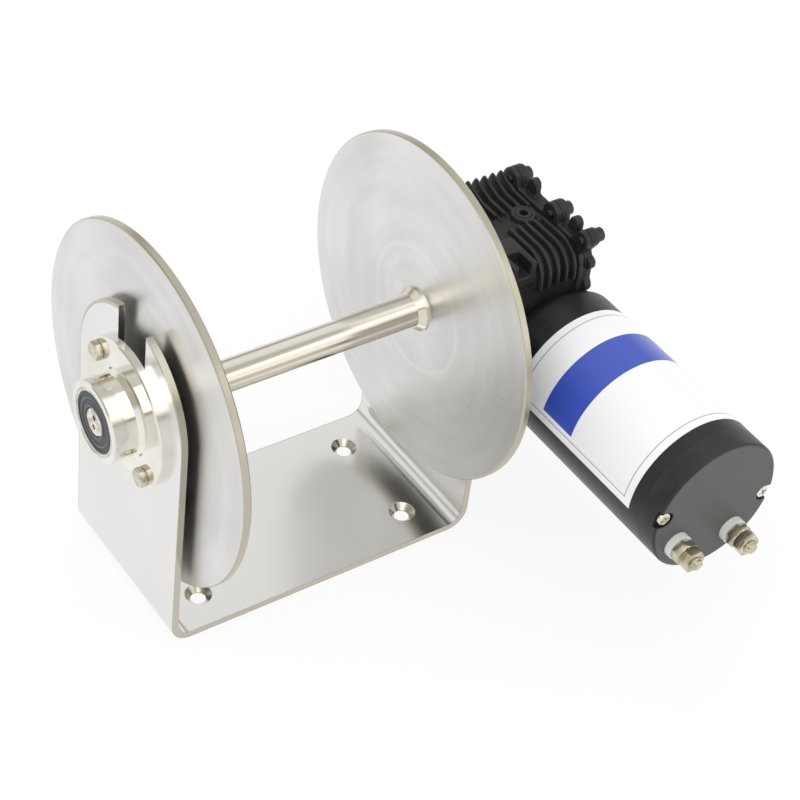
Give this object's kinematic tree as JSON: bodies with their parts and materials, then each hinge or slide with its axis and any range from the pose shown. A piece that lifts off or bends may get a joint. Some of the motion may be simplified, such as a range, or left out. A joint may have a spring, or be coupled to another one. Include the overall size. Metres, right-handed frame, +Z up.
{
  "type": "anchor windlass",
  "caption": "Electric drum windlass: two large steel discs on a shaft in a U bracket, turned by a finned worm gearbox with a round motor set across the drum.",
  "frame": {"origin": "centre of the four base holes on the underside of the base bracket", "axes": "+Z up, away from the surface it is bolted to; +X along the drum axis towards the gearbox; the motor points along -Y"},
  "size_m": [0.3273, 0.3167, 0.239],
  "materials": {
    "stainless_plate": "satin polished",
    "stainless_turned": "turned and polished",
    "bolt_steel": "plain stainless",
    "bearing_steel": "ground",
    "black_rubber": "matt",
    "bronze": "machined",
    "black_casting": "satin black over die casting",
    "black_paint": "satin black paint",
    "lamination": "varnished",
    "copper": "enamelled copper",
    "magnet": "ferrite",
    "black_plastic": "moulded",
    "carbon": "pressed carbon",
    "white_plastic": "moulded",
    "label_film": "gloss film"
  },
  "bodies": {
    "frame": {"base_bracket": "stainless_plate", "bearing_housing": "stainless_turned", "housing_bolts": "bolt_steel", "bearing_outer_rings": "bearing_steel", "bearing_seals": "black_rubber", "gearbox_housing": "black_casting", "gearbox_cover": "black_casting", "cover_gasket": "black_rubber", "cover_screws": "bolt_steel", "gearbox_mount_screws": "bolt_steel", "output_seal": "black_rubber", "filler_plug": "black_casting", "worm_end_plug": "black_casting", "worm_bushes": "bronze", "worm_seal": "black_rubber", "motor_front_bell": "black_casting", "motor_screws": "bolt_steel", "motor_can": "black_paint", "motor_magnets": "magnet", "motor_end_cap": "black_casting", "end_bush": "bronze", "brush_plate": "black_plastic", "brushes": "carbon", "brush_springs": "bearing_steel", "through_bolts": "bolt_steel", "terminal_studs": "bolt_steel", "terminal_insulators": "white_plastic", "terminal_nuts": "bolt_steel", "motor_label": "label_film"},
    "drum": {"drum_shaft": "stainless_turned", "drum_disc_near": "stainless_plate", "drum_disc_far": "stainless_plate", "hub_collars": "stainless_turned", "bearing_inner_rings": "bearing_steel", "wheel_key": "bearing_steel", "worm_wheel": "bronze", "shaft_circlip": "bearing_steel"},
    "armature": {"worm_shaft": "bearing_steel", "armature_core": "lamination", "armature_windings": "copper", "commutator": "copper"},
    "roller_sets": {"bearing_rollers": "bearing_steel"}
  },
  "joints": [
    {"name": "drum_spin", "type": "hinge", "parent": "frame", "child": "drum", "pos_m": [0, 0, 0.134], "axis": [1, 0, 0], "continuous": true},
    {"name": "armature_spin", "type": "hinge", "parent": "frame", "child": "armature", "pos_m": [0.16, 0, 0.106], "axis": [0, 1, 0], "continuous": true},
    {"name": "roller_orbit", "type": "hinge", "parent": "frame", "child": "roller_sets", "pos_m": [0, 0, 0.134], "axis": [1, 0, 0], "continuous": true}
  ],
  "couplings": [
    {"joint": "armature_spin", "follows": "drum_spin", "ratio": -19},
    {"joint": "roller_orbit", "follows": "drum_spin", "ratio": 0.38461}
  ]
}
